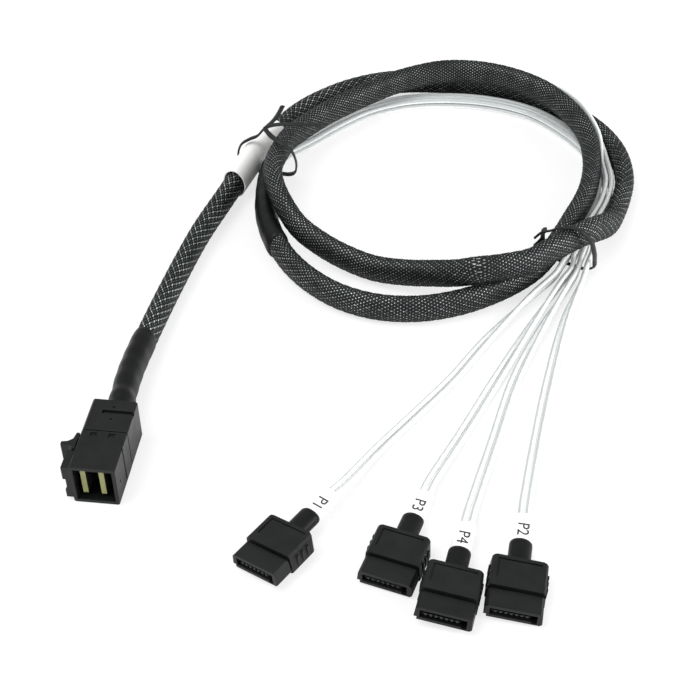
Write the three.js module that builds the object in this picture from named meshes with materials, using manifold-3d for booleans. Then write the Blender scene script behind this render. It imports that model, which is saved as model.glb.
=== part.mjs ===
// Mini SAS breakout cable: one host plug, a braided sleeve wound in two turns, and four drive plugs
// on pairs of twinax cord. Millimetres, +Z up, lying on the floor at z = 0. Hand-chosen points are
// measured from the middle of the coil.
import * as THREE from "three";
import { mergeVertices } from "three/addons/utils/BufferGeometryUtils.js";
import Module from "manifold-3d";

const wasm = await Module();
wasm.setup();

// Driving dimensions.
const GAP = 0.3; // clearance between pieces that touch in the real cable
const SLEEVE = { width: 6.6, height: 9.4 }; // the braided sleeve is an upright oval
const SHRINK = { width: 7.2, height: 10.0 }; // smooth heat-shrink over the end of the sleeve
const PLUG_SHRINK = { width: 7.0, height: 9.8 }; // and from the host plug to the sleeve
const LABEL_WALL = 0.35; // paper wrapped round the sleeve
const CORD = 1.6; // one twinax cord
const PITCH = CORD + 0.35; // spacing of neighbouring cords
const TIE = { width: 1.7, thick: 0.7 }; // twist tie, a flat strip
const HOST = { width: 12.1, height: 12.8, length: 25.2, split: 11.5, wall: 1.0, mouth: 10 };
const SHELL = { length: 9.4, base: 14.6, top: 13.8, height: 5.8 };
const NOSE = { length: 5.4, base: 14.2, top: 13.6, low: 0.6, height: 4.2 };
const SLOT = { width: 11.4, low: 1.5, height: 2.4, depth: 4.6 };
const CONTACT = { count: 7, pitch: 1.27, width: 0.7, height: 0.5 };
const NECK = { length: 6.9, width: 5.8, height: 4.2 };
const FLAG = { length: 8.4, width: 5.2, height: 3.0 }; // leg label

// Looks.
const looks = {
  plastic: { color: 0x2e3030, roughness: 0.55, metalness: 0 },
  plasticGrey: { color: 0x3a3c3b, roughness: 0.5, metalness: 0 },
  shrink: { color: 0x121515, roughness: 0.6, metalness: 0 },
  braid: { color: 0x3a3f40, roughness: 0.6, metalness: 0.2 },
  paper: { color: 0xf4f4f2, roughness: 0.8, metalness: 0 },
  twinax: { color: 0xe4e6e6, roughness: 0.35, metalness: 0 },
  board: { color: 0x8a8a55, roughness: 0.5, metalness: 0.2 },
  gold: { color: 0xb09a5a, roughness: 0.35, metalness: 0.8 },
  tie: { color: 0x1c1c1c, roughness: 0.6, metalness: 0 },
};
const cable = new THREE.Group();
function place(name, geometry, look, parent = cable) {
  const mesh = new THREE.Mesh(geometry, new THREE.MeshStandardMaterial(looks[look]));
  mesh.name = name;
  parent.add(mesh);
  return mesh;
}

// Solids for cutting and joining.
function toSolid(geometry) {
  const bare = geometry.clone();
  bare.deleteAttribute("normal");
  bare.deleteAttribute("uv");
  const merged = mergeVertices(bare, 1e-4);
  return new wasm.Manifold(
    new wasm.Mesh({
      numProp: 3,
      vertProperties: new Float32Array(merged.attributes.position.array),
      triVerts: new Uint32Array(merged.index.array),
    }),
  );
}
function toGeometry(solid) {
  const mesh = solid.getMesh();
  const positions = new Float32Array(mesh.numVert * 3);
  for (let i = 0; i < mesh.numVert; i++)
    positions.set(mesh.vertProperties.subarray(i * mesh.numProp, i * mesh.numProp + 3), i * 3);
  return new THREE.BufferGeometry()
    .setAttribute("position", new THREE.BufferAttribute(positions, 3))
    .setIndex(new THREE.BufferAttribute(mesh.triVerts, 1));
}
const cut = (geometry, ...tools) =>
  toGeometry(tools.reduce((left, tool) => left.subtract(toSolid(tool)), toSolid(geometry)));
const join = (geometry, ...more) =>
  toGeometry(more.reduce((sum, other) => sum.add(toSolid(other)), toSolid(geometry)));

// A box from its two corners.
function box(x0, x1, y0, y1, z0, z1) {
  return new THREE.BoxGeometry(x1 - x0, y1 - y0, z1 - z0).translate(
    (x0 + x1) / 2,
    (y0 + y1) / 2,
    (z0 + z1) / 2,
  );
}
// A closed outline in X and Y, pulled up from z0 to z1.
function prism(outline, z0, z1) {
  const shape = new THREE.Shape(outline.map(([x, y]) => new THREE.Vector2(x, y)));
  return new THREE.ExtrudeGeometry(shape, { depth: z1 - z0, bevelEnabled: false }).translate(0, 0, z0);
}
// A closed outline in Y and Z, pulled along X from x0 to x1.
function bar(outline, x0, x1) {
  const shape = new THREE.Shape(outline.map(([y, z]) => new THREE.Vector2(y, z)));
  return new THREE.ExtrudeGeometry(shape, { depth: x1 - x0, bevelEnabled: false })
    .applyMatrix4(new THREE.Matrix4().set(0, 0, 1, x0, 1, 0, 0, 0, 0, 1, 0, 0, 0, 0, 0, 1));
}

// A route whose sections stand upright: their first axis is up, their second is level.
class Route extends THREE.CatmullRomCurve3 {
  constructor(points) {
    super(points, false, "centripetal");
    this.arcLengthDivisions = 900;
  }
  computeFrenetFrames(segments) {
    const up = new THREE.Vector3(0, 0, 1);
    const frames = { tangents: [], normals: [], binormals: [] };
    for (let i = 0; i <= segments; i++) {
      const tangent = this.getTangentAt(i / segments);
      const level = new THREE.Vector3().crossVectors(tangent, up).normalize();
      frames.tangents.push(tangent);
      frames.binormals.push(level);
      frames.normals.push(new THREE.Vector3().crossVectors(level, tangent).normalize());
    }
    return frames;
  }
}
// An oval ring of points: x is the section's height, y its width.
function oval(width, height, sides) {
  const ring = [];
  for (let i = 0; i < sides; i++) {
    const a = ((i + 0.5) / sides) * 2 * Math.PI;
    ring.push(new THREE.Vector2((Math.cos(a) * height) / 2, (Math.sin(a) * width) / 2));
  }
  return ring;
}
function tube(points, width, height, sides, steps, hole) {
  const shape = new THREE.Shape(oval(width, height, sides));
  if (hole) shape.holes.push(new THREE.Path(oval(hole.width, hole.height, sides)));
  return new THREE.ExtrudeGeometry(shape, { steps, extrudePath: new Route(points), curveSegments: 1 });
}
// A point from its angle round the coil in degrees, its distance from the middle and its height.
function polar(angle, radius, height) {
  const a = (angle * Math.PI) / 180;
  return new THREE.Vector3(radius * Math.cos(a), radius * Math.sin(a), height);
}
const at = ([x, y, z]) => new THREE.Vector3(x, y, z);

// Braided sleeve. The lead runs from the host plug to the coil.
const lead = [
  [-91.45, -82.3, 5], [-86.5, -58.1, 4.8], [-79.8, -30.5, 4.9], [-73.6, -12, 5.3],
  [-68.9, 0.7, 6.1], [-62.9, 16.5, 6.7], [-57, 27.7, 6.2],
];
// Stations of the two turns: angle (it falls, so the coil winds clockwise), distance, height.
const turns = [
  [145, 65, 4.9], [137, 65.6, 4.7], [129, 65.8, 4.7], [120, 66.2, 4.7], [110, 66.2, 4.7],
  [100, 65.4, 4.7], [88, 64.2, 4.7], [76, 64.4, 4.7], [64, 64.5, 4.7], [52, 63.6, 4.7],
  [42, 62.9, 4.7], [31, 62.6, 4.7], [22, 62.5, 4.7], [12, 61.8, 4.7], [0, 60.2, 4.7],
  [-10, 58.5, 4.7], [-19, 57.6, 4.9], [-27, 57.6, 6.4], [-35, 57.4, 9.6], [-44, 57.2, 12.8],
  [-53, 57.4, 14], [-61, 58.5, 14.3], [-69, 60.4, 14.3], [-75, 60.7, 14.5], [-80, 60.9, 14.6],
  [-84, 61, 14.6], [-88, 59.2, 12.4], [-92, 57.4, 10.6], [-97, 55.4, 8.7], [-106, 54.1, 6.6],
  [-117, 54.1, 5.3], [-128, 54.9, 5.9], [-138, 56.2, 7.2], [-147, 57.6, 8.9], [-156, 58.4, 12.3],
  [-165, 58.4, 14.4], [-174, 57.4, 14.7], [-184, 55.4, 14], [-194, 54.4, 12.6], [-203, 53.1, 11.4],
  [-212, 52.2, 10.8], [-222, 51.6, 10.6], [-232, 51.5, 10.6], [-242, 52.7, 10.6], [-252, 55.1, 10.7],
  [-262, 57.3, 11.1], [-272, 59.1, 11.8], [-284, 60, 12], [-296, 59.7, 12], [-308, 58.8, 11.7],
  [-318, 57.3, 11.1], [-329, 55.5, 10.2], [-339, 53.4, 9.3], [-350, 50.7, 8.5], [-361, 48.6, 8.3],
  [-373, 47.2, 8.3], [-384, 46.7, 8.3], [-394, 47, 8], [-404, 48.7, 7.4], [-413, 51, 6.2],
  [-421, 53.5, 5], [-430, 56.4, 4.7], [-440, 60.1, 4.7], [-450, 64.2, 4.7], [-460, 67.9, 4.7],
  [-470, 70.2, 4.7], [-480, 70.5, 4.7], [-490, 69.2, 4.8], [-499, 67.4, 4.9], [-507, 65.6, 5.1],
];
const SLEEVE_END = turns.length - 1;
// The smooth shrink goes on from the sleeve's end.
const shrinkTurns = [
  [-507.7, 65.45, 5.1], [-515, 63.8, 5.1], [-524, 61.8, 5.1], [-533, 60.1, 5.1], [-541, 59.2, 5.1],
  [-547, 58.9, 5.1],
];
const sleevePoints = [...lead.map(at), ...turns.map(([a, r, z]) => polar(a, r, z))];
place("braided_sleeve", tube(sleevePoints, SLEEVE.width, SLEEVE.height, 12, 150), "braid");
place(
  "sleeve_end_shrink",
  tube(shrinkTurns.map(([a, r, z]) => polar(a, r, z)), SHRINK.width, SHRINK.height, 12, 8),
  "shrink",
);

// Host plug, lying on its side. Its frame: +X to the mouth, +Y to the photo's right, origin at the
// middle of the rear face's lower edge.
const hostPlug = new THREE.Group();
hostPlug.position.set(-94.58, -114.18, 0);
hostPlug.rotation.z = (-96.4 * Math.PI) / 180;
cable.add(hostPlug);
{
  const { width: w, height: h, length: l, split, wall, mouth } = HOST;
  const y = w / 2;
  const chamfered = (a, b, c) => [
    [-a + c, 0], [a - c, 0], [a, c], [a, b - c], [a - c, b], [-a + c, b], [-a, b - c], [-a, c],
  ];
  const rear = cut(
    bar(chamfered(y, h, 0.5), 0, split - GAP / 2),
    box(3.9, 5.1, -2.4, y + 1, h - 0.9, h + 1), // slot across the top
    box(2.2, 3.0, 0, 0.8, h - 0.4, h + 1),
    box(6.6, 7.3, 0.2, 0.9, h - 0.4, h + 1),
  );
  place("plug_rear_shell", rear, "plastic", hostPlug);
  const inner = y - wall;
  let front = cut(
    bar(chamfered(y, h, 0.4), split + GAP / 2, l),
    box(l - mouth, l + 1, -inner, inner, wall, h - wall), // the mouth
    box(split + 0.8, split + 2.3, -3.4, -1.6, h - 0.5, h + 1), // snap windows
    box(split + 0.8, split + 2.3, 1.4, 3.2, h - 0.5, h + 1),
    box(16.8, 17.4, y - 0.4, y + 1, 1.2, h - 0.2), // groove in the right side
    box(21.8, 22.4, y - 0.3, y + 1, 5.6, 6.2),
  );
  const rail = l - 6.8; // rear end of the stepped rail on the left side
  front = join(
    front,
    box(rail, l - 0.5, -y - 2.2, -y + 0.2, h - 5.2, h - 0.9),
    box(rail, l - 0.5, -y - 1.5, -y + 0.2, 3.6, h - 5),
    box(rail, l - 0.5, -y - 2.0, -y + 0.2, 1.0, 3.7),
  );
  place("plug_front_shroud", front, "plasticGrey", hostPlug);
  // Inner carrier at the bottom of the mouth, and the two upright boards that it holds.
  const back = l - mouth + GAP;
  const boards = [-3.0, 1.85];
  const carrier = cut(
    box(back, back + 2.4, -inner + GAP, inner - GAP, wall + GAP, h - wall - GAP),
    ...boards.map((c) => box(back + 0.6, back + 3, c - 1.0, c + 1.0, wall + 1.0, h - wall - 1.0)),
  );
  place("plug_carrier", carrier, "plastic", hostPlug);
  boards.forEach((c, i) =>
    place(
      "plug_board_" + (i + 1),
      box(back + 0.9, l - 1.4, c - 0.7, c + 0.7, wall + 1.3, h - wall - 1.3),
      "board",
      hostPlug,
    ),
  );
  // Latch lever on the left side, with the thumb tab that flares out at its rear.
  const s = -y - GAP;
  const tip = rail - GAP;
  const lever = join(
    prism(
      [
        [tip - 5.7, s], [tip, s], [tip, s - 0.8], [tip - 0.8, s - 0.9], [tip - 1.1, s - 2.0],
        [tip - 1.1, s - 4.0], [tip - 2.2, s - 4.0], [tip - 2.5, s - 2.4], [tip - 3.5, s - 1.2],
        [tip - 5.7, s - 0.8],
      ],
      h - 4.4,
      h - 0.5,
    ),
    box(tip - 2.2, tip - 1.1, s - 4.0, s - 3.0, h - 6.6, h - 0.5), // the lip of the thumb tab
  );
  place("plug_latch", lever, "plastic", hostPlug);
}
// Smooth heat-shrink from the plug's rear face to the sleeve.
const plugShrinkPoints = [
  [-94.4, -113.78, 6.3], [-94.2, -111.6, 6.3], [-94.15, -104, 6.15], [-93.4, -94, 5.6],
  [-91.65, -83, 5.15],
];
place(
  "plug_heat_shrink",
  tube(plugShrinkPoints.map(at), PLUG_SHRINK.width, PLUG_SHRINK.height, 12, 8),
  "shrink",
);

// Paper label round the sleeve by the first tie.
const labelRoute = new Route(sleevePoints);
const labelCurve = [];
const LABEL_FROM = 0.1007, LABEL_TO = 0.142; // shares of the sleeve's length
for (let i = 0; i <= 10; i++)
  labelCurve.push(labelRoute.getPointAt(LABEL_FROM + ((LABEL_TO - LABEL_FROM) * i) / 10));
const inside = { width: SLEEVE.width + 2.8 * GAP, height: SLEEVE.height + 2.8 * GAP };
place(
  "trunk_label",
  tube(labelCurve, inside.width + 2 * LABEL_WALL, inside.height + 2 * LABEL_WALL, 12, 8, inside),
  "paper",
);

// Twinax cords. Each leg has two. Stations round the coil give distance and height of both cords.
const row = [0.95, 0.95 + PITCH];
const two = (r, low = row[0]) => [r, low, r, low + PITCH]; // one cord on the other
const legs = {
  drive_1: {
    plug: { x: -45.93, y: -152.14, yaw: -126.5, roll: 8, pitch: 0 },
    coil: [
      [171, ...two(57.3, 4.2)], [164, ...two(55.7, 3.4)], [157, ...two(54.0, 2.2)],
      [150, ...two(52.8, 1.2)], [139, ...two(51.7)], [129, ...two(51.7)], [120, ...two(52.4)],
      [110, ...two(53.0)], [100, ...two(53.5)], [88, ...two(53.7)], [76, ...two(54.4)],
      [64, ...two(55.2)], [54, ...two(55.5)], [46, ...two(55.0)], [38, ...two(54.4)],
      [31, ...two(54.2)], [22, ...two(54.0)], [12, ...two(53.4)], [0, ...two(52.0)],
      [-12, ...two(50.1)], [-20, ...two(49.1)], [-27, ...two(48.9, 1.2)], [-34, ...two(49.9, 1.8)],
      [-41, ...two(52.0, 2.4)], [-47, ...two(53.9, 2.6)], [-52, ...two(55.5, 2.3)],
      [-57, ...two(57.6, 1.5)],
    ],
    fan: [[23.5, -57.5, 80], [8.5, -76.5, 20], [-3.0, -93.6, 0], [-13.2, -106.8, 0], [-23.9, -120.3, 0]],
  },
  drive_3: {
    plug: { x: -18.35, y: -153.35, yaw: -110.9, roll: 0, pitch: 0 },
    coil: [
      [171, ...two(59.2, 2.5)], [164, ...two(57.6, 2.45)], [157, ...two(56.0, 1.6)],
      [150, ...two(54.8, 1.1)], [139, ...two(53.65)], [129, ...two(53.65)], [120, ...two(54.35)],
      [110, ...two(54.95)], [100, ...two(55.45)], [88, ...two(55.65)], [76, ...two(56.35)],
      [64, ...two(57.15)], [54, ...two(57.45)], [46, ...two(56.95)], [38, ...two(56.35)],
      [31, ...two(56.15)], [22, ...two(55.95)], [12, ...two(55.35)], [0, ...two(53.95)],
      [-12, ...two(52.05)], [-20, ...two(51.05)], [-27, ...two(50.9, 1.2)], [-34, ...two(51.7, 1.9)],
      [-41, ...two(54.0, 2.4)], [-47, ...two(55.9, 2.6)],
    ],
    fan: [[37.2, -44.4, 90], [32.8, -51.6, 88], [21.5, -71.5, 45], [9.4, -94.2, 0], [-1.2, -114.8, 0]],
  },
  drive_4: {
    plug: { x: -6.62, y: -164.55, yaw: -104.6, roll: -3, pitch: -4.5 },
    coil: [
      [171, 59.2, 6.4, 59.2, 8.4], [164, 58.4, 6.5, 59.4, 8.3], [157, 57.6, 6.7, 58.3, 8.55],
      [150, 57.2, 6.9, 57.4, 9.0], [139, 56.9, 8.0, 56.6, 10.0], [129, 56.9, 8.2, 56.7, 10.2],
      [120, 58.0, 8.4, 57.8, 10.4], [110, 59.9, 8.8, 59.7, 10.8], [100, 61.6, 10.0, 61.2, 12.0],
      [88, 63.6, 10.6, 63.5, 12.6], [76, 64.3, 10.7, 64.1, 12.7], [64, 64.5, 10.7, 64.4, 12.7],
      [54, 63.9, 10.6, 63.7, 12.6], [46, 63.0, 10.5, 62.8, 12.5], [38, 61.7, 10.3, 61.5, 12.3],
      [31, 60.2, 9.6, 59.9, 11.6], [22, 58.6, 7.55, 58.2, 9.5], [17, 57.9, 6.2, 56.8, 7.85],
      [12, 57.3, 4.9, 55.35, 5.2],
      [0, 55.9, 4.85, 53.95, 4.85], [-12, 54.0, 4.85, 52.05, 4.85], [-20, 53.0, 4.95, 51.0, 4.95],
      [-27, 52.95, 5.4, 51.0, 6.1], [-34, 53.5, 6.1, 52.3, 7.8], [-41, 56.1, 3.5, 55.8, 5.5],
      [-47, 58.4, 2.6, 58.4, 4.55],
    ],
    fan: [[38.4, -46.4, 90], [34.6, -53.8, 88], [24.9, -72, 45], [14.8, -94.2, 0], [6.8, -118.6, 0]],
  },
  drive_2: {
    plug: { x: 9.1, y: -162.22, yaw: -100.7, roll: -4, pitch: 0 },
    coil: [
      [171, ...two(61.25, 4.2)], [164, ...two(59.7, 3.4)], [157, ...two(58.0, 2.2)],
      [150, ...two(56.8, 1.2)], [139, ...two(55.6)], [129, ...two(55.6)], [120, ...two(56.3)],
      [110, ...two(56.9)], [100, ...two(57.4)], [88, ...two(57.6)], [76, ...two(58.3)],
      [64, ...two(59.1)], [54, ...two(59.4)], [46, ...two(58.9)], [38, ...two(58.3)],
      [31, ...two(58.1)], [22, ...two(57.9)], [12, ...two(57.3)], [0, ...two(55.9)],
      [-12, ...two(54.0)], [-20, ...two(53.0)], [-27, ...two(52.9, 1.2)], [-34, ...two(55.2, 1.9)],
      [-41, ...two(58.5, 2.6)], [-47, ...two(61.2, 2.7)],
    ],
    fan: [[39.6, -50.4, 80], [32.4, -68.0, 40], [24.6, -94.2, 0], [19.0, -115.9, 0]],
  },
};
for (const [name, leg] of Object.entries(legs)) {
  const { plug } = leg;
  const yaw = (plug.yaw * Math.PI) / 180;
  const forward = new THREE.Vector3(Math.cos(yaw), Math.sin(yaw), 0);
  const rear = new THREE.Vector3(plug.x, plug.y, 0);
  const tilt = (Math.abs(plug.roll) * Math.PI) / 180;
  const lift = (Math.sin(tilt) * SHELL.base) / 2; // a rolled plug stands on one edge
  const axis = SHELL.height / 2 + lift; // height of the neck's middle
  const back = (distance, height) =>
    rear.clone().addScaledVector(forward, -distance).setZ(height);
  const end = GAP + NECK.length + GAP + FLAG.length + GAP;
  // The route's middle in the fan, with the pair turned from stacked (90) to side by side (0).
  const middle = leg.fan.map(([x, y, turn], i) => ({
    p: new THREE.Vector3(x, y, 0),
    turn,
    low: row[0] + (i ? 0 : 0.3),
  }));
  middle.push({ p: back(end + 5, 0), turn: 0, low: axis - 0.7 });
  middle.push({ p: back(end, 0), turn: 0, low: axis });
  for (const side of [0, 1]) {
    const points = leg.coil.map(([a, r0, z0, r1, z1]) => polar(a, side ? r1 : r0, side ? z1 : z0));
    middle.forEach(({ p, turn, low }, i) => {
      const before = i ? middle[i - 1].p : points[points.length - 1].clone().setZ(0);
      const after = i < middle.length - 1 ? middle[i + 1].p : p.clone().add(forward);
      const along = after.clone().sub(before).setZ(0).normalize();
      const right = new THREE.Vector3(-along.y, along.x, 0);
      const a = (turn * Math.PI) / 180;
      const sideways = (side ? 0.5 : -0.5) * PITCH * Math.cos(a);
      points.push(
        p.clone().addScaledVector(right, sideways).setZ(low + (side ? PITCH * Math.sin(a) : 0)),
      );
    });
    place(name + "_cord_" + (side + 1), tube(points, CORD, CORD, 8, 54), "twinax");
  }

  // The label and the neck are straight ovals behind the plug.
  const straight = (from, to, width, height) =>
    tube([back(from, axis), back((from + to) / 2, axis), back(to, axis)], width, height, 12, 1);
  place(
    name + "_label",
    straight(end - GAP, GAP + NECK.length + GAP, FLAG.width, FLAG.height),
    "paper",
  );
  const lean = Math.sin((Math.abs(plug.pitch) * Math.PI) / 180) * SHELL.height;
  place(
    name + "_neck",
    straight(GAP + NECK.length, GAP + lean, NECK.width, NECK.height),
    "shrink",
  );

  // The drive plug. Its frame: +X to the nose, +Y to the photo's right.
  const drive = new THREE.Group();
  drive.position.copy(rear).setZ(lift);
  drive.rotation.set((plug.roll * Math.PI) / 180, (plug.pitch * Math.PI) / 180, yaw, "ZYX");
  cable.add(drive);
  const { length: sl, base: sb, top: st, height: sh } = SHELL;
  const flank = (base, top, low, high, c) => [
    [-base / 2 + c, low], [base / 2 - c, low], [base / 2, low + c], [top / 2, high - c],
    [top / 2 - c, high], [-top / 2 + c, high], [-top / 2, high - c], [-base / 2, low + c],
  ];
  const plan = [
    [0, -sb / 2 + 1.6], [0.5, -sb / 2 + 0.5], [1.6, -sb / 2 - 0.1], [sl, -sb / 2 - 0.1],
    [sl, sb / 2 + 0.1], [1.6, sb / 2 + 0.1], [0.5, sb / 2 - 0.5], [0, sb / 2 - 1.6],
  ];
  let shell = toGeometry(
    toSolid(bar(flank(sb, st, 0, sh, 0.5), 0, sl)).intersect(toSolid(prism(plan, -1, sh + 1))),
  );
  shell = cut(
    shell,
    box(1.0, 1.5, -st / 2 + 1.5, st / 2 - 1.5, sh - 0.35, sh + 1), // grooves of the top panel
    box(1.0, sl - 2.6, -st / 2 + 1.5, -st / 2 + 2.0, sh - 0.35, sh + 1),
  );
  const ribs = [];
  for (const flankSide of [-1, 1])
    for (let i = 0; i < 3; i++) {
      const x = 2.6 + i * 1.9;
      const y0 = (flankSide * (sb + st)) / 4;
      ribs.push(
        box(x, x + 0.8, y0 - 0.3, y0 + 0.3, 1.2, sh - 1.6),
      );
    }
  place(name + "_shell", join(shell, ...ribs), "plastic", drive);
  const nx = sl + GAP;
  const top = NOSE.low + NOSE.height;
  let nose = bar(flank(NOSE.base, NOSE.top, NOSE.low, top, 0.6), nx, nx + NOSE.length);
  nose = cut(
    nose,
    box(nx + NOSE.length - SLOT.depth, nx + NOSE.length + 1, -SLOT.width / 2, SLOT.width / 2,
      SLOT.low, SLOT.low + SLOT.height),
    box(nx + NOSE.length - SLOT.depth, nx + NOSE.length + 1, SLOT.width / 2 - 1.2, SLOT.width / 2,
      SLOT.low - 0.5, SLOT.low + 1), // the key of the L
    box(nx + 3, nx + NOSE.length + 1, -NOSE.base / 2 - 1, -NOSE.base / 2 + 0.8, NOSE.low - 1,
      NOSE.low + 0.9), // notch at the lower left corner
  );
  place(name + "_nose", nose, "plastic", drive);
  const blockBack = nx + NOSE.length - SLOT.depth + GAP;
  const low = SLOT.low + GAP;
  const span = ((CONTACT.count - 1) * CONTACT.pitch) / 2;
  const fingers = [];
  for (let i = 0; i < CONTACT.count; i++) {
    const y0 = -0.5 + i * CONTACT.pitch - span;
    fingers.push(
      box(blockBack + 0.4, nx + NOSE.length - 0.5, y0 - CONTACT.width / 2, y0 + CONTACT.width / 2,
        low + 0.3, low + 0.5 + CONTACT.height),
    );
  }
  const block = join(
    box(blockBack, nx + NOSE.length - 0.9, -SLOT.width / 2 + GAP, SLOT.width / 2 - 1.6, low, low + 0.5),
    ...fingers,
  );
  place(name + "_contacts", block, "gold", drive);
}

// Twist ties: flat strips whose width lies along the cable where it can.
class Strap extends THREE.CatmullRomCurve3 {
  constructor(points, across) {
    super(points, false, "centripetal");
    this.arcLengthDivisions = 600;
    this.across = across;
  }
  computeFrenetFrames(segments) {
    const frames = { tangents: [], normals: [], binormals: [] };
    let broad = this.across.clone();
    for (let i = 0; i <= segments; i++) {
      const tangent = this.getTangentAt(i / segments);
      const wish = this.across.clone().addScaledVector(tangent, -this.across.dot(tangent));
      if (wish.length() > 0.6) broad = wish;
      else broad.addScaledVector(tangent, -broad.dot(tangent));
      broad.normalize();
      frames.tangents.push(tangent);
      frames.binormals.push(broad.clone());
      frames.normals.push(new THREE.Vector3().crossVectors(broad, tangent).normalize());
    }
    return frames;
  }
}
function tie(name, angle, points) {
  const a = (angle * Math.PI) / 180;
  const route = new Strap(points.map(at), new THREE.Vector3(Math.sin(a), -Math.cos(a), 0.1));
  const shape = new THREE.Shape(oval(TIE.width, TIE.thick, 8));
  place(name, new THREE.ExtrudeGeometry(shape, { steps: 84, extrudePath: route, curveSegments: 1 }), "tie");
}
tie("twist_tie_1", 175, [
  [-54.9, 21.1, 20.6], [-56.2, 17.0, 20.0], [-58.2, 12.4, 19.6], [-61.0, 9.8, 18.4],
  [-63.2, 10.6, 15.4], [-66.0, 11.4, 13.6], [-68.9, 12.2, 11.0], [-70.2, 12.6, 6.6],
  [-68.8, 12.6, 1.8], [-64.4, 12.2, 0.5], [-58, 11.0, 0.5], [-53.6, 9.2, 0.9], [-51.0, 6.0, 3.6],
  [-50.0, 2.0, 8.4], [-50.0, -0.9, 13.4], [-51.0, -1.7, 17.0], [-53.4, -1.2, 19.3],
  [-56.2, 0.9, 20.0], [-58.6, 4.4, 19.9], [-60.0, 7.4, 20.5], [-56.6, 9.0, 20.8],
  [-50.0, 9.4, 20.7], [-41.7, 10.6, 19.8],
]);
tie("twist_tie_2", -50, [
  [24.4, -45.4, 11.8], [26.2, -44.0, 12.8], [27.8, -40.6, 13.2], [28.4, -36.8, 12.0],
  [28.6, -34.8, 8.0], [29.6, -34.2, 4.0], [33.0, -37.2, 1.0], [38.0, -40.6, 0.5],
  [42.0, -42.6, 0.6], [44.0, -44.0, 2.4], [43.7, -45.2, 6.0], [42.8, -46.9, 10.4],
  [41.0, -47.8, 15.4], [38.0, -47.4, 18.6], [34.8, -46.0, 19.3], [31.7, -45.2, 18.5],
  [29.0, -44.4, 16.8], [26.8, -43.0, 15.2], [24.4, -44.2, 13.8],
]);

// The origin: on the floor, under the middle of the box round the whole cable.
cable.updateMatrixWorld(true);
const bounds = new THREE.Box3().setFromObject(cable, true);
const centre = bounds.getCenter(new THREE.Vector3());
cable.position.set(-centre.x, -centre.y, -bounds.min.z);

export default cable;
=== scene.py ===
"""Mini SAS breakout cable on a pale floor: braided sleeve, twinax cords, labels, plugs and ties.
Routes and sizes are in mm, from the coil's middle on the floor, and repeat those of the model.
mesh_object and metres turn them into metres in the model's own frame."""

import math

import bmesh
import bpy
import numpy as np
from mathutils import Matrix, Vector


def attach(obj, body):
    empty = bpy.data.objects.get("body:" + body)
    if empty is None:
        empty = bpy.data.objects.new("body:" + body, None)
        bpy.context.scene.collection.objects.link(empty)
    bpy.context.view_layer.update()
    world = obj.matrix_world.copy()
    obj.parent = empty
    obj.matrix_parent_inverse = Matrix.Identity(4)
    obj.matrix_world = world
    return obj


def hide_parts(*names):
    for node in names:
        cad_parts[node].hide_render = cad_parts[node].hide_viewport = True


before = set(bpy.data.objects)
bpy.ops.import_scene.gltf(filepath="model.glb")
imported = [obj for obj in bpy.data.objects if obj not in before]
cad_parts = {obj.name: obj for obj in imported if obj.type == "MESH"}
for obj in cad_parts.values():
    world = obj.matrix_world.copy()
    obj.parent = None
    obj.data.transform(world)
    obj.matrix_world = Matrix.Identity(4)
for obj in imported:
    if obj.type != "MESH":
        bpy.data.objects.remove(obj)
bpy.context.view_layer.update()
MM = 0.001
ORIGIN = np.array([21.451, 56.544, 0.0])  # the coil's middle in the model's frame, mm
CORD = 1.6  # one cord's thickness
PITCH = 1.95  # between the middles of a pair's two cords
ROW = 0.95  # height of a cord's middle where it lies on the floor
SHELL_BASE, SHELL_HEIGHT = 14.6, 5.8  # a drive plug's rear shell
NECK_LENGTH, NECK_WIDTH, NECK_HEIGHT = 6.9, 5.8, 4.2  # the shrink behind it
FLAG_LENGTH, FLAG_WIDTH, FLAG_HEIGHT = 8.4, 5.2, 3.0  # the label behind the neck
GAP = 0.3  # between a leg's pieces
FAN_LIFT = 0.3  # the first point of a fan lies that much higher
APPROACH, DIP = 5, 0.7  # the cords rise by the dip over their last stretch before the label
NUMBER_PLACE, NUMBER_LIFT = 3.2, 0.02  # the number's middle: along the label and above it
HOST_YAW = math.radians(-96.4)

CORE = (8.7, 5.9)  # height and width of the bright screen under the braid
YARNS = 22  # each way round
YARN_WIDTH = 0.7
STRETCH = 1.5  # the weave is pulled out along the sleeve
AROUND = 25.4  # the sleeve's girth
SPACING_UP, SPACING_LEVEL = 4.45, 3.05  # half axes of the oval that spaces the yarns
YARN_UP, YARN_LEVEL = 4.42, 3.02  # half axes of the oval that they lie on
YARN_WAVE = 0.1  # a yarn goes over and under its neighbours by that much
YARN_EDGE, YARN_CROWN = -0.05, 0.06  # height of a yarn's edges and of its middle line
END_FILM = (10.0, 7.2)  # height and width of the films round the sleeve
PLUG_FILM = (9.8, 6.9)
LABEL_FILM = (10.7, 7.9)
LABEL_WALL = 0.3
LABEL_FROM, LABEL_TO = 0.1007, 0.142  # shares of the sleeve's length


def two(r, low=ROW):
    """Radius and height of a pair's lower and upper cord, one straight above the other."""
    return (r, low, r, low + PITCH)


# Routes. LEAD and PLUG_SHRINK hold x, y, height; TURNS and END_SHRINK hold angle, radius, height.
LEAD = [
    [-91.45, -82.3, 5], [-86.5, -58.1, 4.8], [-79.8, -30.5, 4.9], [-73.6, -12, 5.3],
    [-68.9, 0.7, 6.1], [-62.9, 16.5, 6.7], [-57, 27.7, 6.2],
]

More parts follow.
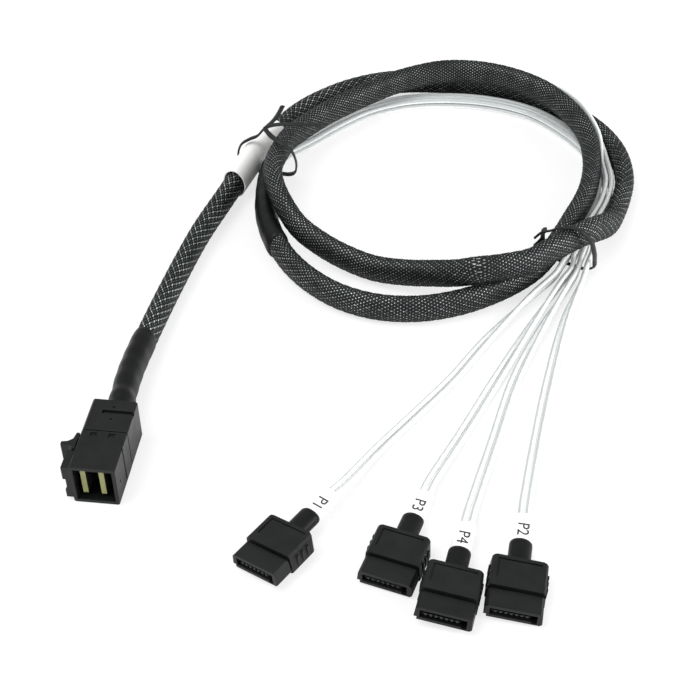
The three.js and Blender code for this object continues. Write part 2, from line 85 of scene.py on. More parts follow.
TURNS = [
    [145, 65, 4.9], [137, 65.6, 4.7], [129, 65.8, 4.7], [120, 66.2, 4.7], [110, 66.2, 4.7],
    [100, 65.4, 4.7], [88, 64.2, 4.7], [76, 64.4, 4.7], [64, 64.5, 4.7], [52, 63.6, 4.7],
    [42, 62.9, 4.7], [31, 62.6, 4.7], [22, 62.5, 4.7], [12, 61.8, 4.7], [0, 60.2, 4.7],
    [-10, 58.5, 4.7], [-19, 57.6, 4.9], [-27, 57.6, 6.4], [-35, 57.4, 9.6], [-44, 57.2, 12.8],
    [-53, 57.4, 14], [-61, 58.5, 14.3], [-69, 60.4, 14.3], [-75, 60.7, 14.5], [-80, 60.9, 14.6],
    [-84, 61, 14.6], [-88, 59.2, 12.4], [-92, 57.4, 10.6], [-97, 55.4, 8.7], [-106, 54.1, 6.6],
    [-117, 54.1, 5.3], [-128, 54.9, 5.9], [-138, 56.2, 7.2], [-147, 57.6, 8.9], [-156, 58.4, 12.3],
    [-165, 58.4, 14.4], [-174, 57.4, 14.7], [-184, 55.4, 14], [-194, 54.4, 12.6],
    [-203, 53.1, 11.4], [-212, 52.2, 10.8], [-222, 51.6, 10.6], [-232, 51.5, 10.6],
    [-242, 52.7, 10.6], [-252, 55.1, 10.7], [-262, 57.3, 11.1], [-272, 59.1, 11.8], [-284, 60, 12],
    [-296, 59.7, 12], [-308, 58.8, 11.7], [-318, 57.3, 11.1], [-329, 55.5, 10.2], [-339, 53.4, 9.3],
    [-350, 50.7, 8.5], [-361, 48.6, 8.3], [-373, 47.2, 8.3], [-384, 46.7, 8.3], [-394, 47, 8],
    [-404, 48.7, 7.4], [-413, 51, 6.2], [-421, 53.5, 5], [-430, 56.4, 4.7], [-440, 60.1, 4.7],
    [-450, 64.2, 4.7], [-460, 67.9, 4.7], [-470, 70.2, 4.7], [-480, 70.5, 4.7], [-490, 69.2, 4.8],
    [-499, 67.4, 4.9], [-507, 65.6, 5.1],
]

END_SHRINK = [
    [-507.7, 65.45, 5.1], [-515, 63.8, 5.1], [-524, 61.8, 5.1], [-533, 60.1, 5.1],
    [-541, 59.2, 5.1], [-547, 58.9, 5.1],
]

PLUG_SHRINK = [
    [-94.4, -113.78, 6.3], [-94.2, -111.6, 6.3], [-94.15, -104, 6.15], [-93.4, -94, 5.6],
    [-91.65, -83, 5.15],
]

# Each leg: its plug's rear middle, the pair's way round the coil as angle and two times radius and
# height, and its way to the plug as x, y and the angle by which the pair stands up.
LEGS = {
    "drive_1": {
        "plug": {"x": -45.93, "y": -152.14, "yaw": -126.5, "roll": 8, "pitch": 0},
        "coil": [
            [171, *two(57.3, 4.2)], [164, *two(55.7, 3.4)], [157, *two(54.0, 2.2)],
            [150, *two(52.8, 1.2)], [139, *two(51.7)], [129, *two(51.7)], [120, *two(52.4)],
            [110, *two(53.0)], [100, *two(53.5)], [88, *two(53.7)], [76, *two(54.4)],
            [64, *two(55.2)], [54, *two(55.5)], [46, *two(55.0)], [38, *two(54.4)],
            [31, *two(54.2)], [22, *two(54.0)], [12, *two(53.4)], [0, *two(52.0)],
            [-12, *two(50.1)], [-20, *two(49.1)], [-27, *two(48.9, 1.2)], [-34, *two(49.9, 1.8)],
            [-41, *two(52.0, 2.4)], [-47, *two(53.9, 2.6)], [-52, *two(55.5, 2.3)],
            [-57, *two(57.6, 1.5)],
        ],
        "fan": [
            [23.5, -57.5, 80], [8.5, -76.5, 20], [-3.0, -93.6, 0], [-13.2, -106.8, 0],
            [-23.9, -120.3, 0],
        ],
    },
    "drive_3": {
        "plug": {"x": -18.35, "y": -153.35, "yaw": -110.9, "roll": 0, "pitch": 0},
        "coil": [
            [171, *two(59.2, 2.5)], [164, *two(57.6, 2.45)], [157, *two(56.0, 1.6)],
            [150, *two(54.8, 1.1)], [139, *two(53.65)], [129, *two(53.65)], [120, *two(54.35)],
            [110, *two(54.95)], [100, *two(55.45)], [88, *two(55.65)], [76, *two(56.35)],
            [64, *two(57.15)], [54, *two(57.45)], [46, *two(56.95)], [38, *two(56.35)],
            [31, *two(56.15)], [22, *two(55.95)], [12, *two(55.35)], [0, *two(53.95)],
            [-12, *two(52.05)], [-20, *two(51.05)], [-27, *two(50.9, 1.2)], [-34, *two(51.7, 1.9)],
            [-41, *two(54.0, 2.4)], [-47, *two(55.9, 2.6)],
        ],
        "fan": [
            [37.2, -44.4, 90], [32.8, -51.6, 88], [21.5, -71.5, 45], [9.4, -94.2, 0],
            [-1.2, -114.8, 0],
        ],
    },
    "drive_4": {
        "plug": {"x": -6.62, "y": -164.55, "yaw": -104.6, "roll": -3, "pitch": -4.5},
        "coil": [
            [171, 59.2, 6.4, 59.2, 8.4], [164, 58.4, 6.5, 59.4, 8.3], [157, 57.6, 6.7, 58.3, 8.55],
            [150, 57.2, 6.9, 57.4, 9.0], [139, 56.9, 8.0, 56.6, 10.0], [129, 56.9, 8.2, 56.7, 10.2],
            [120, 58.0, 8.4, 57.8, 10.4], [110, 59.9, 8.8, 59.7, 10.8],
            [100, 61.6, 10.0, 61.2, 12.0], [88, 63.6, 10.6, 63.5, 12.6],
            [76, 64.3, 10.7, 64.1, 12.7], [64, 64.5, 10.7, 64.4, 12.7],
            [54, 63.9, 10.6, 63.7, 12.6], [46, 63.0, 10.5, 62.8, 12.5],
            [38, 61.7, 10.3, 61.5, 12.3], [31, 60.2, 9.6, 59.9, 11.6], [22, 58.6, 7.55, 58.2, 9.5],
            [17, 57.9, 6.2, 56.8, 7.85], [12, 57.3, 4.9, 55.35, 5.2], [0, 55.9, 4.85, 53.95, 4.85],
            [-12, 54.0, 4.85, 52.05, 4.85], [-20, 53.0, 4.95, 51.0, 4.95],
            [-27, 52.95, 5.4, 51.0, 6.1], [-34, 53.5, 6.1, 52.3, 7.8], [-41, 56.1, 3.5, 55.8, 5.5],
            [-47, 58.4, 2.6, 58.4, 4.55],
        ],
        "fan": [
            [38.4, -46.4, 90], [34.6, -53.8, 88], [24.9, -72, 45], [14.8, -94.2, 0],
            [6.8, -118.6, 0],
        ],
    },
    "drive_2": {
        "plug": {"x": 9.1, "y": -162.22, "yaw": -100.7, "roll": -4, "pitch": 0},
        "coil": [
            [171, *two(61.25, 4.2)], [164, *two(59.7, 3.4)], [157, *two(58.0, 2.2)],
            [150, *two(56.8, 1.2)], [139, *two(55.6)], [129, *two(55.6)], [120, *two(56.3)],
            [110, *two(56.9)], [100, *two(57.4)], [88, *two(57.6)], [76, *two(58.3)],
            [64, *two(59.1)], [54, *two(59.4)], [46, *two(58.9)], [38, *two(58.3)],
            [31, *two(58.1)], [22, *two(57.9)], [12, *two(57.3)], [0, *two(55.9)],
            [-12, *two(54.0)], [-20, *two(53.0)], [-27, *two(52.9, 1.2)], [-34, *two(55.2, 1.9)],
            [-41, *two(58.5, 2.6)], [-47, *two(61.2, 2.7)],
        ],
        "fan": [
            [39.6, -50.4, 80], [32.4, -68.0, 40], [24.6, -94.2, 0], [19.0, -115.9, 0],
        ],
    },
}

# Each tie: its angle on the coil, and the points x, y, height of its middle line.
TIES = [
    ("twist_tie_1", 175, [
        [-54.9, 21.1, 20.6], [-56.2, 17.0, 20.0], [-58.2, 12.4, 19.6], [-61.0, 9.8, 18.4],
        [-63.2, 10.6, 15.4], [-66.0, 11.4, 13.6], [-68.9, 12.2, 11.0], [-70.2, 12.6, 6.6],
        [-68.8, 12.6, 1.8], [-64.4, 12.2, 0.5], [-58, 11.0, 0.5], [-53.6, 9.2, 0.9],
        [-51.0, 6.0, 3.6], [-50.0, 2.0, 8.4], [-50.0, -0.9, 13.4], [-51.0, -1.7, 17.0], [-53.4, -1.2, 19.3],
        [-56.2, 0.9, 20.0], [-58.6, 4.4, 19.9], [-60.0, 7.4, 20.5], [-56.6, 9.0, 20.8],
        [-50.0, 9.4, 20.7], [-41.7, 10.6, 19.8],
    ]),
    ("twist_tie_2", -50, [
        [24.4, -45.4, 11.8], [26.2, -44.0, 12.8], [27.8, -40.6, 13.2], [28.4, -36.8, 12.0],
        [28.6, -34.8, 8.0], [29.6, -34.2, 4.0], [33.0, -37.2, 1.0], [38.0, -40.6, 0.5],
        [42.0, -42.6, 0.6], [44.0, -44.0, 2.4], [43.7, -45.2, 6.0], [42.8, -46.9, 10.4],
        [41.0, -47.8, 15.4], [38.0, -47.4, 18.6], [34.8, -46.0, 19.3], [31.7, -45.2, 18.5],
        [29.0, -44.4, 16.8], [26.8, -43.0, 15.2], [24.4, -44.2, 13.8],
    ]),
]


def polar(angle, radius, height):
    a = math.radians(angle)
    return np.array([radius * math.cos(a), radius * math.sin(a), height])


def spline(points, step=0.5):
    """A centripetal Catmull-Rom line through the points, resampled evenly."""
    p = np.array(points, float)
    p = np.vstack([2 * p[0] - p[1], p, 2 * p[-1] - p[-2]])
    out = []
    t = np.linspace(0, 1, 60, endpoint=False)[:, None]
    for i in range(1, len(p) - 2):
        x0, x1, x2, x3 = p[i - 1 : i + 3]
        d0, d1, d2 = (np.linalg.norm(b - a) ** 0.5 for a, b in ((x0, x1), (x1, x2), (x2, x3)))
        t1 = ((x1 - x0) / d0 - (x2 - x0) / (d0 + d1) + (x2 - x1) / d1) * d1
        t2 = ((x2 - x1) / d1 - (x3 - x1) / (d1 + d2) + (x3 - x2) / d2) * d1
        square = -3 * x1 + 3 * x2 - 2 * t1 - t2
        cube = 2 * x1 - 2 * x2 + t1 + t2
        out.append(x1 + t1 * t + square * t**2 + cube * t**3)
    line = np.vstack(out + [p[-2:-1]])
    s = np.concatenate([[0], np.cumsum(np.linalg.norm(np.diff(line, axis=0), axis=1))])
    n = max(2, int(round(s[-1] / step)) + 1)
    at = np.linspace(0, s[-1], n)
    return np.stack([np.interp(at, s, line[:, k]) for k in range(3)], axis=1)


def unit(v):
    return v / np.linalg.norm(v, axis=-1, keepdims=True)


class Frames:
    """Centre line with frames: t is along it, n is upward and b is level."""

    def __init__(self, line):
        self.c = line
        t = unit(np.gradient(line, axis=0))
        self.b = unit(np.cross(t, [0, 0, 1.0]))
        self.n = unit(np.cross(self.b, t))
        self.t = t
        self.s = np.concatenate([[0], np.cumsum(np.linalg.norm(np.diff(line, axis=0), axis=1))])

    def lay_flat(self, across):
        """Turn the frames so that b keeps to one direction as far as the line allows."""
        broad = across.copy()
        for i, t in enumerate(self.t):
            wish = across - t * np.dot(across, t)
            broad = unit(wish if np.linalg.norm(wish) > 0.6 else broad - t * np.dot(broad, t))
            self.b[i], self.n[i] = broad, unit(np.cross(broad, t))

    def at(self, s):
        pick = lambda a: np.stack([np.interp(s, self.s, a[:, k]) for k in range(3)], axis=-1)
        return pick(self.c), pick(self.n), pick(self.b)


def route(points):
    return Frames(spline(points))


def metres(line):
    return ((line + ORIGIN) * MM).tolist()


def mesh_object(name, verts, faces, material, uvs=None):
    """A smooth-shaded piece that rides the root."""
    mesh = bpy.data.meshes.new(name)
    mesh.from_pydata(metres(np.asarray(verts)), [], [list(map(int, f)) for f in faces])
    if uvs is not None:
        layer = mesh.uv_layers.new(name="uv")
        loops = np.empty(len(mesh.loops), np.int32)
        mesh.loops.foreach_get("vertex_index", loops)
        layer.data.foreach_set("uv", np.asarray(uvs, np.float32)[loops].ravel())
    mesh.polygons.foreach_set("use_smooth", [True] * len(mesh.polygons))
    mesh.materials.append(material)
    mesh.update()
    obj = bpy.data.objects.new(name, mesh)
    bpy.context.scene.collection.objects.link(obj)
    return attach(obj, "root") or obj


def ring(sides):
    a = np.arange(sides) / sides * 2 * np.pi
    return np.cos(a), np.sin(a)


def oval(height, width, sides):
    """A section for sweep, as (up, level) for each corner."""
    cu, cb = ring(sides)
    return np.stack([cu * height / 2, cb * width / 2], axis=1)


def sweep(name, frames, section, material, scale=None):
    """A closed tube along the frames; scale is the section's size at each of their points."""
    up, level = np.array(section, float).T
    sides, k = len(up), len(frames.c)
    scale = np.ones(k) if scale is None else scale
    v = (
        frames.c[:, None]
        + frames.n[:, None] * (up[None, :, None] * scale[:, None, None])
        + frames.b[:, None] * (level[None, :, None] * scale[:, None, None])
    ).reshape(-1, 3)
    i, j = np.meshgrid(np.arange(k - 1), np.arange(sides), indexing="ij")
    a, b = i * sides + j, i * sides + (j + 1) % sides
    faces = np.stack([a, b, b + sides, a + sides], axis=-1).reshape(-1, 4).tolist()
    uv = np.stack(
        [np.tile(np.arange(sides) / sides, k), np.repeat(frames.s * 0.1, sides)], axis=1
    )
    faces = [list(range(sides))[::-1], *faces, [(k - 1) * sides + j for j in range(sides)]]
    return mesh_object(name, v, faces, material, uv)


def rounded_ends(frames, first, last, least):
    """Scale along a tube that rounds its ends over that many mm, down to the least scale."""
    s, total = frames.s, frames.s[-1]
    out = np.ones(len(s))
    for on, d in ((first, s), (last, total - s)):
        if on:
            x = np.clip(1 - d / on, 0, 1)
            out *= 1 - (1 - least) * x**2.2
    return out


# Materials.
def srgb(code):
    parts = [int(code[i : i + 2], 16) / 255 for i in (1, 3, 5)]
    linear = (c / 12.92 if c <= 0.04045 else ((c + 0.055) / 1.055) ** 2.4 for c in parts)
    return (*linear, 1.0)


def add(tree, kind, inputs=None, **props):
    """One shader node; an input is a value or another node's output."""
    node = tree.nodes.new(kind)
    for key, value in props.items():
        setattr(node, key, value)
    for key, value in (inputs or {}).items():
        if isinstance(value, bpy.types.NodeSocket):
            tree.links.new(value, node.inputs[key])
        else:
            node.inputs[key].default_value = value
    return node


def new_material(name):
    mat = bpy.data.materials.new(name)
    mat.use_nodes = True
    tree = mat.node_tree
    tree.nodes.clear()
    shader = add(tree, "ShaderNodeBsdfPrincipled")
    out = add(tree, "ShaderNodeOutputMaterial", {"Surface": shader.outputs[0]})
    coords = add(tree, "ShaderNodeTexCoord")
    return mat, tree, shader, out, coords


def ramp(tree, value, *stops):
    node = add(tree, "ShaderNodeValToRGB", {"Fac": value})
    while len(node.color_ramp.elements) < len(stops):
        node.color_ramp.elements.new(0.5)
    for element, (at, colour) in zip(node.color_ramp.elements, stops):
        element.position = at
        element.color = srgb(colour) if isinstance(colour, str) else (colour, colour, colour, 1)
    return node.outputs[0]


def grainy(name, low, high, roughness, grain, bump, metallic=0.0, coat=0.0, specular=0.5):
    """Moulded or woven stuff: mottled colour and roughness over a fine bump; grain is in mm."""
    mat, tree, shader, _, coords = new_material(name)
    at = coords.outputs["Object"]
    broad = add(tree, "ShaderNodeTexNoise", {"Vector": at, "Scale": 160.0, "Detail": 3.0})
    fine = add(tree, "ShaderNodeTexNoise", {"Vector": at, "Scale": 1000.0 / grain, "Detail": 2.0})
    colour = ramp(tree, broad.outputs[0], (0.3, low), (0.7, high))
    tree.links.new(colour, shader.inputs["Base Color"])
    rough = ramp(tree, broad.outputs[0], (0.25, roughness - 0.06), (0.75, roughness + 0.06))
    tree.links.new(rough, shader.inputs["Roughness"])
    shape = add(
        tree, "ShaderNodeBump", {"Height": fine.outputs[0], "Strength": bump, "Distance": 0.0001}
    )
    tree.links.new(shape.outputs[0], shader.inputs["Normal"])
    shader.inputs["Metallic"].default_value = metallic
    shader.inputs["Coat Weight"].default_value = coat
    shader.inputs["Specular IOR Level"].default_value = specular
    return mat


PLASTIC = grainy("plastic_black", "#0f1110", "#171918", 0.45, 0.35, 0.35, specular=0.22)
PLASTIC_GREY = grainy("plastic_charcoal", "#101211", "#181a19", 0.38, 0.3, 0.25, specular=0.2)
SHRINK = grainy("heat_shrink", "#050606", "#0a0c0c", 0.45, 0.5, 0.35, specular=0.2)
YARN = grainy("braid_yarn", "#080b0b", "#121616", 0.5, 0.12, 0.5, specular=0.25)
FOIL = grainy("foil_screen", "#6a7272", "#dde2e2", 0.4, 1.6, 0.9, metallic=0.3)
PAPER = grainy("label_film", "#eeeeec", "#f8f8f6", 0.55, 0.6, 0.1)
INK = grainy("label_ink", "#222424", "#2c2e2e", 0.6, 0.5, 0.1)
BOARD = grainy("board_edge", "#77773f", "#9a9a66", 0.45, 0.25, 0.6)
CONTACT = grainy("contact_dark", "#161818", "#242626", 0.4, 0.3, 0.2, metallic=0.2)
BOARD_FACE = grainy("board_face", "#1d1f1e", "#2a2d2b", 0.45, 0.25, 0.4)
TIE = grainy("tie_plastic", "#101212", "#1a1d1d", 0.5, 0.4, 0.4, specular=0.3)


def twinax_material():
    """A glossy clear jacket over a bright foil with fine grey lines along the cord."""
    mat, tree, shader, _, coords = new_material("twinax_jacket")
    uv = add(tree, "ShaderNodeSeparateXYZ", {"Vector": coords.outputs["UV"]})
    two_turns = {0: uv.outputs[0], 1: 2 * math.pi * 2}
    around = add(tree, "ShaderNodeMath", two_turns, operation="MULTIPLY")
    wave = add(tree, "ShaderNodeMath", {0: around.outputs[0]}, operation="SINE")
    grain = {"Vector": coords.outputs["Object"], "Scale": 700.0, "Detail": 3.0}
    noise = add(tree, "ShaderNodeTexNoise", grain)
    mixed = add(tree, "ShaderNodeMath", {0: wave.outputs[0], 1: noise.outputs[0]}, operation="ADD")
    greys = [(0.0, "#fbfcfc"), (0.6, "#f1f3f3"), (0.85, "#d6dada"), (1.0, "#bcc1c1")]
    colour = ramp(tree, mixed.outputs[0], *greys)
    tree.links.new(colour, shader.inputs["Base Color"])
    bump = add(
        tree, "ShaderNodeBump", {"Height": noise.outputs[0], "Strength": 0.35, "Distance": 0.0001}
    )
    tree.links.new(bump.outputs[0], shader.inputs["Normal"])
    shader.inputs["Roughness"].default_value = 0.28
    shader.inputs["Coat Weight"].default_value = 0.4
    shader.inputs["Coat Roughness"].default_value = 0.12
    return mat


TWINAX = twinax_material()


# Braided sleeve: a bright screen under crossing black yarns, which go over and under each other.
sleeve_points = [np.array(p, float) for p in LEAD] + [polar(*p) for p in TURNS]
sleeve = route(sleeve_points)
core = sweep("sleeve_core", sleeve, oval(*CORE, 20), FOIL)
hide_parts("braided_sleeve")


def oval_place(share):
    """Cosine and sine of the oval's points at these shares of its girth."""
    a = np.linspace(0, 2 * np.pi, 721)
    x, y = SPACING_UP * np.cos(a), SPACING_LEVEL * np.sin(a)
    s = np.concatenate([[0], np.cumsum(np.hypot(np.diff(x), np.diff(y)))])
    angle = np.interp(np.mod(share, 1.0) * s[-1], s, a)
    return np.cos(angle), np.sin(angle)


def braid(name, frames, start, end):
    """Two sets of yarns that wind round the sleeve in opposite ways, as strips of three lines."""
    pitch = AROUND / YARNS * STRETCH
    count = int((end - start) / (pitch / 2))
    verts, faces = [], []
    along = start + np.arange(count + 1) * (end - start) / count
    half = YARN_WIDTH / 2 / math.hypot(1, STRETCH)
    base = 0
    for way in (1, -1):
        for k in range(YARNS):
            over = np.where((np.arange(count + 1) + k) % 2 == (0 if way == 1 else 1), 1.0, -1.0)
            first = (k + 0.25 * (1 - way)) / YARNS
            strip = []
            for across, lift in ((-1, YARN_EDGE), (0, YARN_CROWN), (1, YARN_EDGE)):
                s = np.clip(along - way * across * half, start, end)
                share = (way * along / STRETCH + across * half * STRETCH) / AROUND + first
                cu, cb = oval_place(share)
                c, n, b = frames.at(s)
                out = (YARN_WAVE * over + lift)[:, None]
                up, level = cu[:, None] * (YARN_UP + out), cb[:, None] * (YARN_LEVEL + out)
                strip.append(c + n * up + b * level)
            strip = np.stack(strip, axis=1).reshape(-1, 3)
            verts.append(strip)
            i = np.arange(count)[:, None] * 3 + np.arange(2)[None, :] + base
            quad = np.stack([i, i + 1, i + 4, i + 3], axis=-1).reshape(-1, 4)
            faces.append(quad)
            base += len(strip)
    return mesh_object(name, np.vstack(verts), np.vstack(faces), YARN)


yarns = braid("sleeve_yarns", sleeve, 0.0, sleeve.s[-1])

# Heat-shrink that laps a little over both ends of the sleeve, and the label round it.
end_frames = route([sleeve.c[-4]] + [polar(*p) for p in END_SHRINK])
wobble = 1 + 0.012 * np.sin(end_frames.s * 0.9) + 0.01 * np.sin(end_frames.s * 0.37 + 1)
wobble = rounded_ends(end_frames, 1.2, 2.5, 0.9) * wobble
end_shrink = sweep("sleeve_end_shrink_film", end_frames, oval(*END_FILM, 28), SHRINK, wobble)
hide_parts("sleeve_end_shrink")
plug_frames = route([*PLUG_SHRINK, sleeve.c[3]])
bulge = 0.1 * np.exp(-(((plug_frames.s - 4.5) / 2.0) ** 2))
waist = 0.04 * np.exp(-(((plug_frames.s - 8) / 1.5) ** 2))
swell = 1 + bulge - waist
swell *= 1 + 0.012 * np.sin(plug_frames.s * 1.1 + 0.6)
swell = rounded_ends(plug_frames, 0, 1.2, 0.93) * swell
plug_shrink = sweep("plug_heat_shrink_film", plug_frames, oval(*PLUG_FILM, 28), SHRINK, swell)
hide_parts("plug_heat_shrink")

start, stop = LABEL_FROM * sleeve.s[-1], LABEL_TO * sleeve.s[-1]
pick = (sleeve.s >= start) & (sleeve.s <= stop)
film = Frames(sleeve.c[pick])


def wrap(name, frames, height, width, wall, material, sides=30):
    """A hollow oval wrap: an outer and an inner tube joined at both ends."""
    cu, cb = ring(sides)
    k = len(frames.c)
    rings = []
    for h, w in ((height / 2, width / 2), (height / 2 - wall, width / 2 - wall)):
        rings.append(
            frames.c[:, None]
            + frames.n[:, None] * (cu * h)[None, :, None]
            + frames.b[:, None] * (cb * w)[None, :, None]
        )
    v = np.concatenate([r.reshape(-1, 3) for r in rings])
    faces = []
    m = k * sides
    for i in range(k - 1):
        for j in range(sides):
            a, b = i * sides + j, i * sides + (j + 1) % sides
            faces.append([a, b, b + sides, a + sides])
            faces.append([m + b, m + a, m + a + sides, m + b + sides])
    for j in range(sides):
        a, b = j, (j + 1) % sides
        faces.append([b, a, m + a, m + b])
        e = (k - 1) * sides
        faces.append([e + a, e + b, m + e + b, m + e + a])
    obj = mesh_object(name, v, faces, material)
    for f in obj.data.polygons[-2 * sides :]:
        f.use_smooth = False
    return obj


trunk_label = wrap("trunk_label_film", film, *LABEL_FILM, LABEL_WALL, PAPER)
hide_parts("trunk_label")


def dress(node, mat, width, segments=2):
    """A copy of a part of the model with its sharp edges bevelled by a width in mm."""
    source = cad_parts[node]
    bm = bmesh.new()
    bm.from_mesh(source.data)
    bmesh.ops.remove_doubles(bm, verts=bm.verts, dist=1e-6)
    bmesh.ops.dissolve_limit(
        bm, angle_limit=math.radians(2), verts=bm.verts, edges=bm.edges, delimit=set()
    )
    inner = [e for e in bm.edges if len(e.link_faces) == 2]
    bmesh.ops.bevel(
        bm,
        geom=[e for e in inner if e.calc_face_angle(0) > math.radians(25)],
        offset=width * MM,
        segments=segments,
        affect="EDGES",
        profile=0.6,
        clamp_overlap=True,
        loop_slide=True,
    )
    mesh = bpy.data.meshes.new(node + "_soft")
    bm.to_mesh(mesh)
    bm.free()
    mesh.polygons.foreach_set("use_smooth", [False] * len(mesh.polygons))
    mesh.materials.clear()
    mesh.materials.append(mat)
    obj = bpy.data.objects.new(node + "_soft", mesh)
    bpy.context.scene.collection.objects.link(obj)
    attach(obj, "root")
    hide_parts(node)
    return obj


dress("plug_rear_shell", PLASTIC_GREY, 0.15)
dress("plug_front_shroud", PLASTIC_GREY, 0.12)
dress("plug_carrier", PLASTIC, 0.1)
dress("plug_latch", PLASTIC_GREY, 0.12)
for i in (1, 2):
    board = dress(f"plug_board_{i}", BOARD_FACE, 0.05, 1)
    board.data.materials.append(BOARD)
    for face in board.data.polygons:
        if face.normal.x * math.cos(HOST_YAW) + face.normal.y * math.sin(HOST_YAW) > 0.7:
            face.material_index = 1  # the cut edge at the mouth

# Drive legs: two cords each, a film label, the neck and the plug.
for name, leg in LEGS.items():
    plug = leg["plug"]
    yaw = math.radians(plug["yaw"])
    forward = np.array([math.cos(yaw), math.sin(yaw), 0.0])
    rear = np.array([plug["x"], plug["y"], 0.0])
    tilt, pitch = math.radians(abs(plug["roll"])), math.radians(abs(plug["pitch"]))
    axis = SHELL_HEIGHT / 2 + math.sin(tilt) * SHELL_BASE / 2
    lean = math.sin(pitch) * SHELL_HEIGHT
    back = lambda d, z: rear - forward * d + np.array([0, 0, z])
    end = GAP + NECK_LENGTH + GAP + FLAG_LENGTH + GAP
    middle = [(np.array([x, y, 0.0]), turn, ROW) for x, y, turn in leg["fan"]]
    middle[0] = (*middle[0][:2], ROW + FAN_LIFT)
    middle += [(back(end + APPROACH, 0), 0, axis - DIP), (back(end, 0), 0, axis)]
    pieces = [
        dress(name + "_shell", PLASTIC, 0.3, 3),
        dress(name + "_nose", PLASTIC, 0.14),
        dress(name + "_contacts", CONTACT, 0.03, 1),
    ]
    neck = route([back(GAP + NECK_LENGTH, axis), back(GAP + lean, axis)])
    soft = rounded_ends(neck, 0.9, 0, 0.85)
    section = oval(NECK_HEIGHT, NECK_WIDTH, 24)
    neck_film = sweep(name + "_neck_film", neck, section, SHRINK, soft)
    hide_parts(name + "_neck")
    flag = route([back(end - GAP, axis), back(GAP + NECK_LENGTH, axis)])
    soft = rounded_ends(flag, 0.4, 0, 0.9)
    section = oval(FLAG_HEIGHT, FLAG_WIDTH, 24)
    flag_film = sweep(name + "_label_film", flag, section, PAPER, soft)
    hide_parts(name + "_label")
    number = bpy.data.curves.new(name + "_number", "FONT")
    number.body = "P" + name[-1]
    number.size = 0.0042
    number.extrude = 0.00003
    number.align_x, number.align_y = "CENTER", "CENTER"
    number.materials.append(INK)
    text = bpy.data.objects.new(name + "_number", number)
    bpy.context.scene.collection.objects.link(text)
    top = axis + FLAG_HEIGHT / 2 + NUMBER_LIFT
    text.location = metres(back(GAP + NECK_LENGTH + NUMBER_PLACE, top))
    text.rotation_euler = (0, 0, yaw)
    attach(text, "root")
    pieces += [neck_film, flag_film, text]
    for side in (0, 1):
        points = [polar(p[0], *p[1 + 2 * side : 3 + 2 * side]) for p in leg["coil"]]
        for i, (p, turn, low) in enumerate(middle):
            before = middle[i - 1][0] if i else points[-1] * [1, 1, 0]
            after = middle[i + 1][0] if i < len(middle) - 1 else p + forward
            along = unit((after - before) * [1, 1, 0])
            right = np.array([-along[1], along[0], 0.0])
            a = math.radians(turn)
            shift = (side - 0.5) * PITCH * math.cos(a)
            points.append(p + right * shift + [0, 0, low + side * PITCH * math.sin(a)])
        line = route(points)
        cord = sweep(f"{name}_cord_{side + 1}_jacket", line, oval(CORD, CORD, 14), TWINAX)
        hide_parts(f"{name}_cord_{side + 1}")

# Twist ties: a wire in a flat strip, whose section is (up, level) for each corner.
STRIP = [(0.12, 0.85), (0.18, 0.4), (0.35, 0.24), (0.35, -0.24), (0.18, -0.4), (0.12, -0.85)]
STRIP += [(-u, b) for u, b in reversed(STRIP)]
for name, angle, points in TIES:
    a = math.radians(angle)
    line = Frames(spline(points, 0.4))
    line.lay_flat(np.array([math.sin(a), -math.cos(a), 0.1]))
    tie = sweep(name + "_strip", line, STRIP, TIE)
    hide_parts(name)

# Floor, light and camera.
FLOOR_REACH, FLOOR_HEIGHT = 3.0, -5e-5  # metres
CAMERA_WHITE = 0.72  # the share of plain white that the camera sees on the floor

ground = bpy.data.meshes.new("floor")
signs = ((-1, -1), (1, -1), (1, 1), (-1, 1))
corners = [(x * FLOOR_REACH, y * FLOOR_REACH, FLOOR_HEIGHT) for x, y in signs]
ground.from_pydata(corners, [], [(0, 1, 2, 3)])
floor_mat, tree, shader, out, _ = new_material("floor_white")
shader.inputs["Base Color"].default_value = srgb("#fbfbfb")
shader.inputs["Roughness"].default_value = 0.9
shader.inputs["Specular IOR Level"].default_value = 0.1
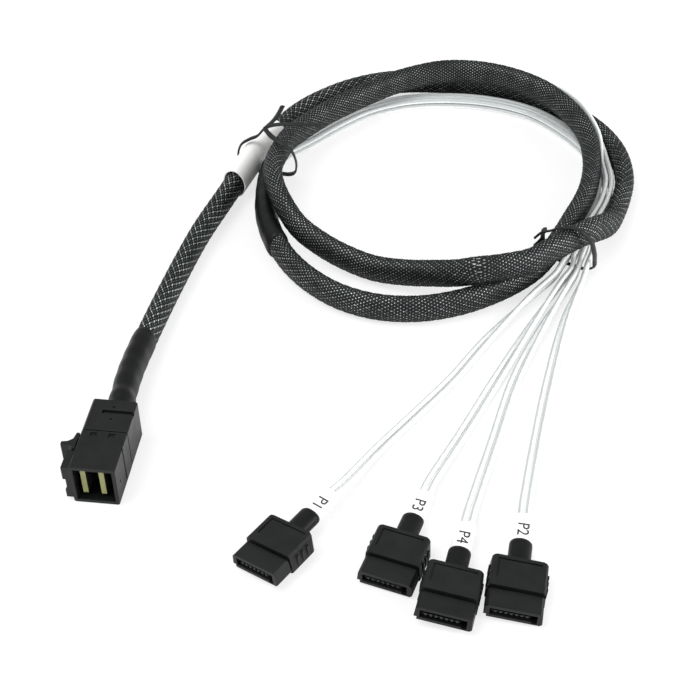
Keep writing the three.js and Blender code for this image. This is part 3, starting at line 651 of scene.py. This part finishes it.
# To the camera the floor is mostly plain white, so only a faint shadow is left.
glow = add(tree, "ShaderNodeEmission", {"Color": (1.0, 1.0, 1.0, 1.0), "Strength": 1.0})
path = add(tree, "ShaderNodeLightPath")
seen = {0: path.outputs["Is Camera Ray"], 1: CAMERA_WHITE}
share = add(tree, "ShaderNodeMath", seen, operation="MULTIPLY")
mixed = {0: share.outputs[0], 1: shader.outputs[0], 2: glow.outputs[0]}
blend = add(tree, "ShaderNodeMixShader", mixed)
tree.links.new(blend.outputs[0], out.inputs["Surface"])
ground.materials.append(floor_mat)
floor = bpy.data.objects.new("floor", ground)
bpy.context.scene.collection.objects.link(floor)

world = bpy.data.worlds.new("studio")
world.use_nodes = True
tree = world.node_tree
sky = tree.nodes["Background"]
sky.inputs["Color"].default_value = (1, 1, 1, 1)
path = add(tree, "ShaderNodeLightPath")
# Plain white to the camera, dimmer as a light.
seen = {"Value": path.outputs["Is Camera Ray"], "To Min": 0.7, "To Max": 1.0}
power = add(tree, "ShaderNodeMapRange", seen)
tree.links.new(power.outputs[0], sky.inputs["Strength"])
bpy.context.scene.world = world


def aim(obj, place, target):
    obj.location = place
    obj.rotation_euler = (Vector(target) - Vector(place)).to_track_quat("-Z", "Y").to_euler()
    bpy.context.scene.collection.objects.link(obj)


def lamp(name, place, size, power):
    """A square lamp that looks at the model's zero point; place and size in metres, power in W."""
    data = bpy.data.lights.new(name, "AREA")
    data.shape = "SQUARE"
    data.size = size
    data.energy = power
    aim(bpy.data.objects.new(name, data), place, (0, 0, 0))


lamp("key", (-0.45, -0.2, 0.95), 0.6, 7.0)
lamp("side", (0.85, -0.3, 0.4), 0.5, 6.0)

camera = bpy.data.cameras.new("camera")
camera.sensor_width = 36
camera.lens = 66.86
camera_obj = bpy.data.objects.new("camera", camera)
# The photograph's centre ray meets the floor at this place.
look = (np.array([-32.0, -80.0, 0.0]) + ORIGIN) * MM
eye = look + np.array([0.0, -0.2828, 0.2546])
aim(camera_obj, eye.tolist(), look.tolist())
bpy.context.scene.camera = camera_obj
bpy.context.scene.view_settings.view_transform = "Standard"
